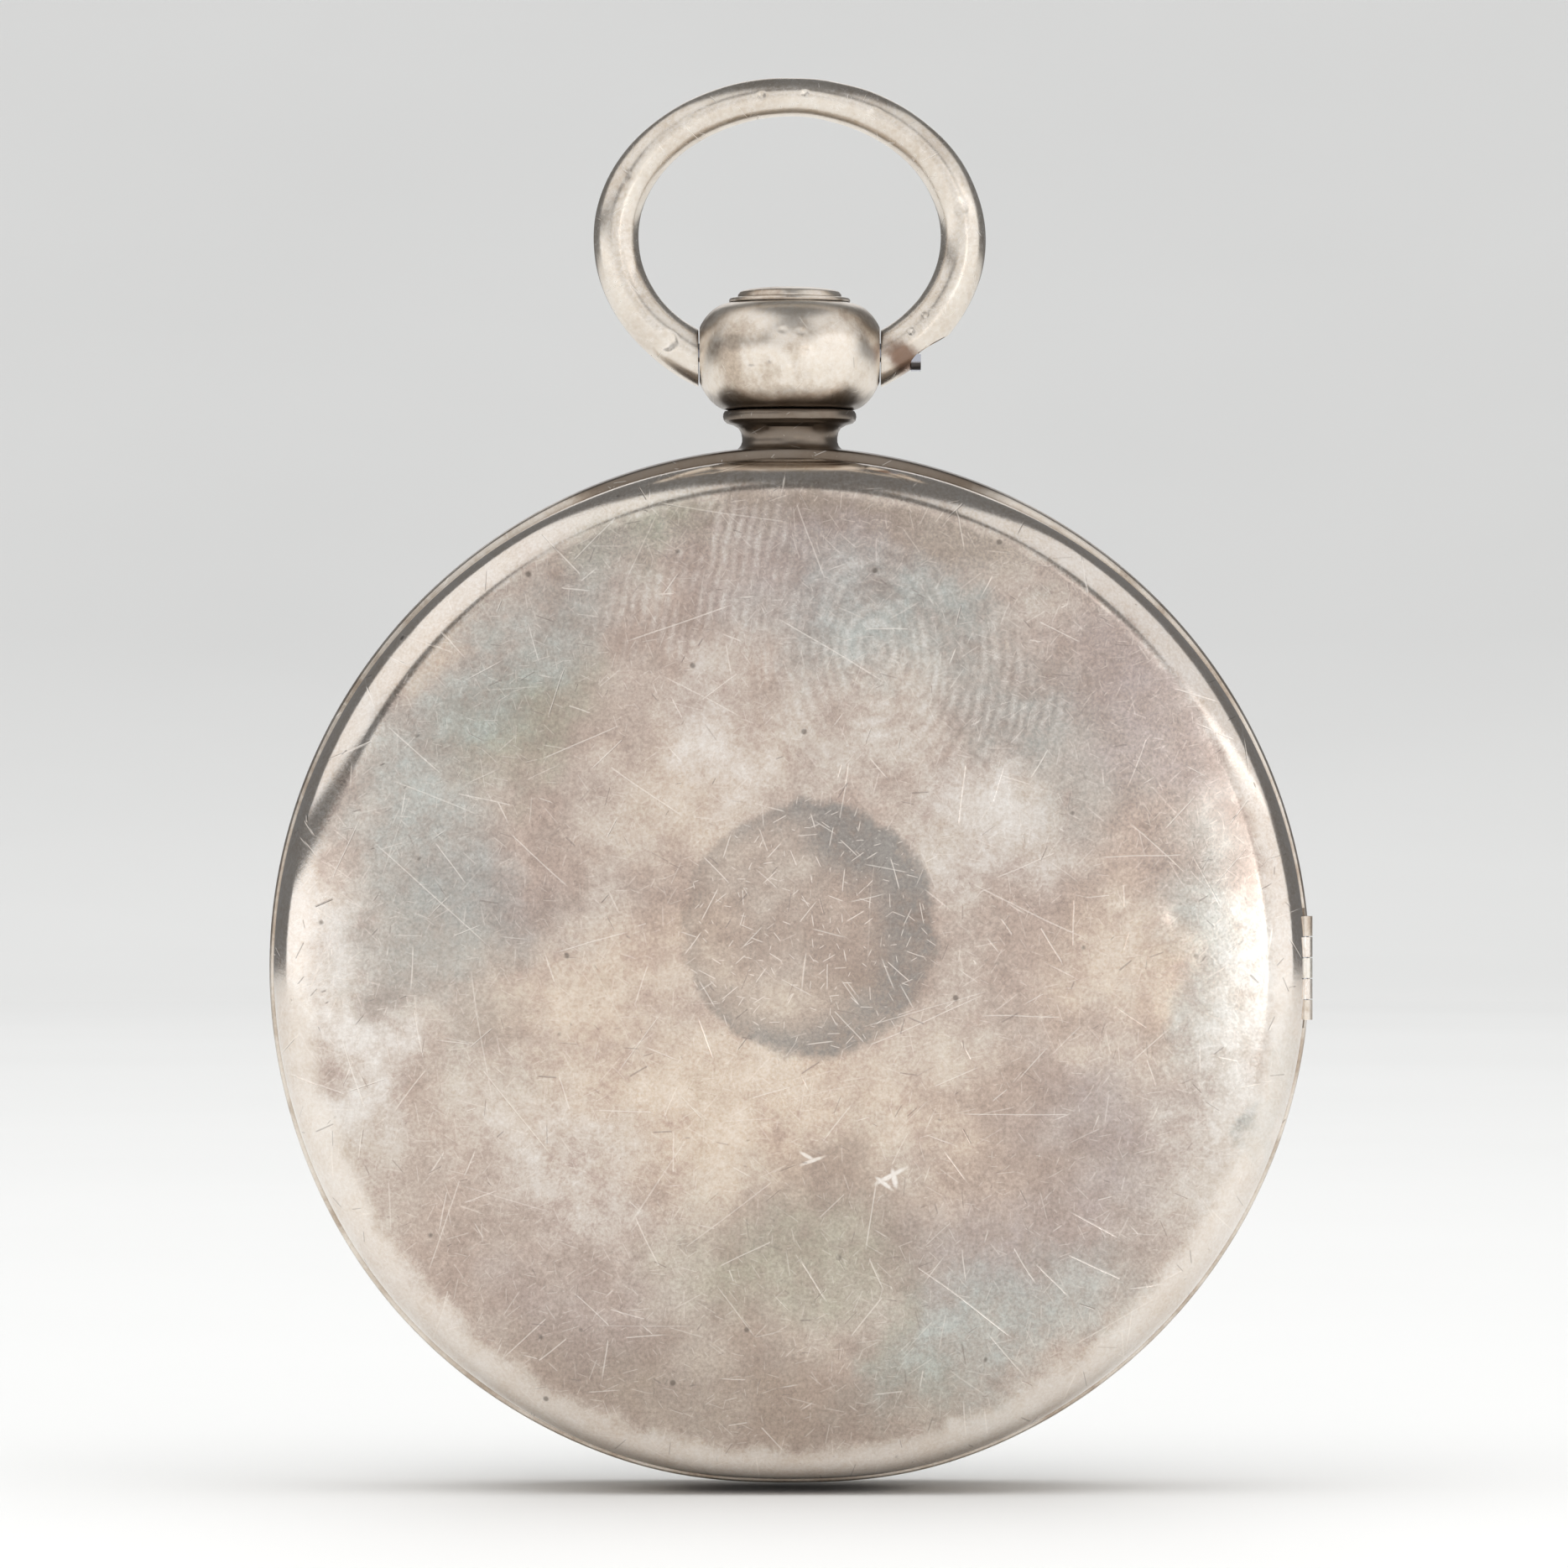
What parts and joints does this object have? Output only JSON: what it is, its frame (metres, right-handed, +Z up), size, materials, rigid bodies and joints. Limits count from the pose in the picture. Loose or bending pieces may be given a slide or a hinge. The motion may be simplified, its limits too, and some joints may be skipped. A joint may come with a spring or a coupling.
{
  "type": "pocket watch",
  "caption": "Round silver key-wind fob watch with plain hinged back, pendant and swinging bow, open dial and a full jewelled train inside.",
  "frame": {"origin": "inner top of the bow's eye, where a chain or hook bears, on the middle plane of the case", "axes": "+Z up towards the bow, +Y out of the plain back, so the dial faces -Y and 12 o'clock is up"},
  "size_m": [0.048, 0.0129, 0.065],
  "materials": {
    "silver_band": "worn silver",
    "silver_bow": "worn silver",
    "silver_back": "tarnished silver, handled",
    "silver_inner": "bright silver",
    "glass": "flat-topped crystal",
    "enamel": "white enamel",
    "blued_steel": "blued",
    "steel": "polished",
    "gilt": "frosted gilt",
    "brass": "polished",
    "ruby": "red jewel",
    "screw_steel": "polished",
    "spring_blue": "blued spring"
  },
  "bodies": {
    "case": {"case_middle": "silver_band", "pendant": "silver_band", "pendant_cap": "silver_band", "back_hinge_pin": "steel", "bezel_hinge_pin": "steel", "mainplate": "gilt", "barrel_bridge": "gilt", "centre_bridge": "gilt", "third_cock": "gilt", "fourth_cock": "gilt", "escape_cock": "gilt", "pallet_cock": "gilt", "balance_cock": "gilt", "jewels": "ruby", "bridge_screws": "screw_steel", "case_screws": "screw_steel", "dial": "enamel", "seconds_dial": "enamel", "dial_feet": "brass", "banking_pins": "brass", "click_screw": "screw_steel", "click_spring": "steel", "hairspring": "spring_blue", "hairspring_stud": "steel", "balance_endpiece": "steel", "minute_post": "steel"},
    "bow": {"bow": "silver_bow", "bow_screw": "screw_steel"},
    "bezel": {"bezel_ring": "silver_band", "crystal": "glass"},
    "back": {"back_cover": "silver_back"},
    "inner_lid": {"inner_cover": "silver_inner"},
    "setting_train": {"set_arbor": "steel", "cannon_pinion": "steel", "minute_hand": "blued_steel"},
    "minute_runner": {"minute_wheel": "brass"},
    "hour_runner": {"hour_wheel": "brass", "hour_hand": "blued_steel"},
    "centre_runner": {"centre_pinion": "steel", "centre_wheel": "brass"},
    "third_runner": {"third_pinion": "steel", "third_wheel": "brass"},
    "seconds_runner": {"fourth_pinion": "steel", "fourth_wheel": "brass", "seconds_hand": "blued_steel"},
    "escape_runner": {"escape_pinion": "steel", "escape_wheel": "steel"},
    "lever": {"pallet_lever": "steel", "pallet_stones": "ruby"},
    "balance": {"balance_wheel": "brass", "balance_staff": "steel", "roller": "steel", "balance_screws": "brass"},
    "barrel": {"barrel_drum": "brass", "barrel_cover": "brass", "mainspring": "steel"},
    "winding": {"barrel_arbor": "steel", "ratchet_wheel": "steel"},
    "click": {"click": "steel"},
    "regulator": {"regulator": "steel"}
  },
  "joints": [
    {"name": "bow_swing", "type": "hinge", "parent": "case", "child": "bow", "pos_m": [0, 0, -0.0109], "axis": [1, 0, 0], "range_deg": [-120, 120]},
    {"name": "bezel_open", "type": "hinge", "parent": "case", "child": "bezel", "pos_m": [-0.02355, -0.0028, -0.03923], "axis": [0, 0, 1], "range_deg": [-105, 0]},
    {"name": "back_open", "type": "hinge", "parent": "case", "child": "back", "pos_m": [-0.02355, 0.0028, -0.03923], "axis": [0, 0, 1], "range_deg": [0, 105]},
    {"name": "inner_cover_open", "type": "hinge", "parent": "case", "child": "inner_lid", "pos_m": [-0.02355, 0.0028, -0.03923], "axis": [0, 0, 1], "range_deg": [0, 90]},
    {"name": "hand_setting", "type": "hinge", "parent": "case", "child": "setting_train", "pos_m": [0, 0, -0.03923], "axis": [0, 1, 0], "continuous": true},
    {"name": "minute_wheel_turn", "type": "hinge", "parent": "case", "child": "minute_runner", "pos_m": [-0.00192, 0, -0.0359], "axis": [0, 1, 0], "continuous": true},
    {"name": "hour_hand_turn", "type": "hinge", "parent": "case", "child": "hour_runner", "pos_m": [0, 0, -0.03923], "axis": [0, 1, 0], "continuous": true},
    {"name": "seconds_hand_turn", "type": "hinge", "parent": "case", "child": "seconds_runner", "pos_m": [0, 0, -0.04903], "axis": [0, 1, 0], "continuous": true},
    {"name": "escape_wheel_turn", "type": "hinge", "parent": "case", "child": "escape_runner", "pos_m": [0.00455, 0, -0.05068], "axis": [0, 1, 0], "continuous": true},
    {"name": "third_wheel_turn", "type": "hinge", "parent": "case", "child": "third_runner", "pos_m": [-0.00367, 0, -0.0449], "axis": [0, 1, 0], "continuous": true},
    {"name": "centre_wheel_turn", "type": "hinge", "parent": "case", "child": "centre_runner", "pos_m": [0, 0, -0.03923], "axis": [0, 1, 0], "continuous": true},
    {"name": "barrel_turn", "type": "hinge", "parent": "case", "child": "barrel", "pos_m": [0.00361, 0, -0.03148], "axis": [0, 1, 0], "continuous": true},
    {"name": "winding_turn", "type": "hinge", "parent": "case", "child": "winding", "pos_m": [0.00361, 0, -0.03148], "axis": [0, 1, 0], "range_deg": [-1440, 0]},
    {"name": "click_lift", "type": "hinge", "parent": "case", "child": "click", "pos_m": [-0.00175, 0, -0.03033], "axis": [0, 1, 0], "range_deg": [-12, 0], "stiffness_Nm_per_rad": 0.000001},
    {"name": "lever_rock", "type": "hinge", "parent": "case", "child": "lever", "pos_m": [0.0072, 0, -0.04846], "axis": [0, 1, 0], "range_deg": [-5, 5]},
    {"name": "balance_swing", "type": "hinge", "parent": "case", "child": "balance", "pos_m": [0.01029, 0, -0.04586], "axis": [0, 1, 0], "range_deg": [-150, 150], "stiffness_Nm_per_rad": 0.0000012, "deforming": ["hairspring"]},
    {"name": "regulator_turn", "type": "hinge", "parent": "case", "child": "regulator", "pos_m": [0.01029, 0, -0.04586], "axis": [0, 1, 0], "range_deg": [-16, 4]}
  ],
  "couplings": [
    {"joint": "inner_cover_open", "follows": "back_open", "ratio": 0.85},
    {"joint": "minute_wheel_turn", "follows": "hand_setting", "ratio": -0.33333},
    {"joint": "hour_hand_turn", "follows": "hand_setting", "ratio": 0.083333},
    {"joint": "escape_wheel_turn", "follows": "seconds_hand_turn", "ratio": -10},
    {"joint": "third_wheel_turn", "follows": "seconds_hand_turn", "ratio": -0.13333},
    {"joint": "centre_wheel_turn", "follows": "seconds_hand_turn", "ratio": 0.016667},
    {"joint": "barrel_turn", "follows": "seconds_hand_turn", "ratio": -0.0020833}
  ]
}
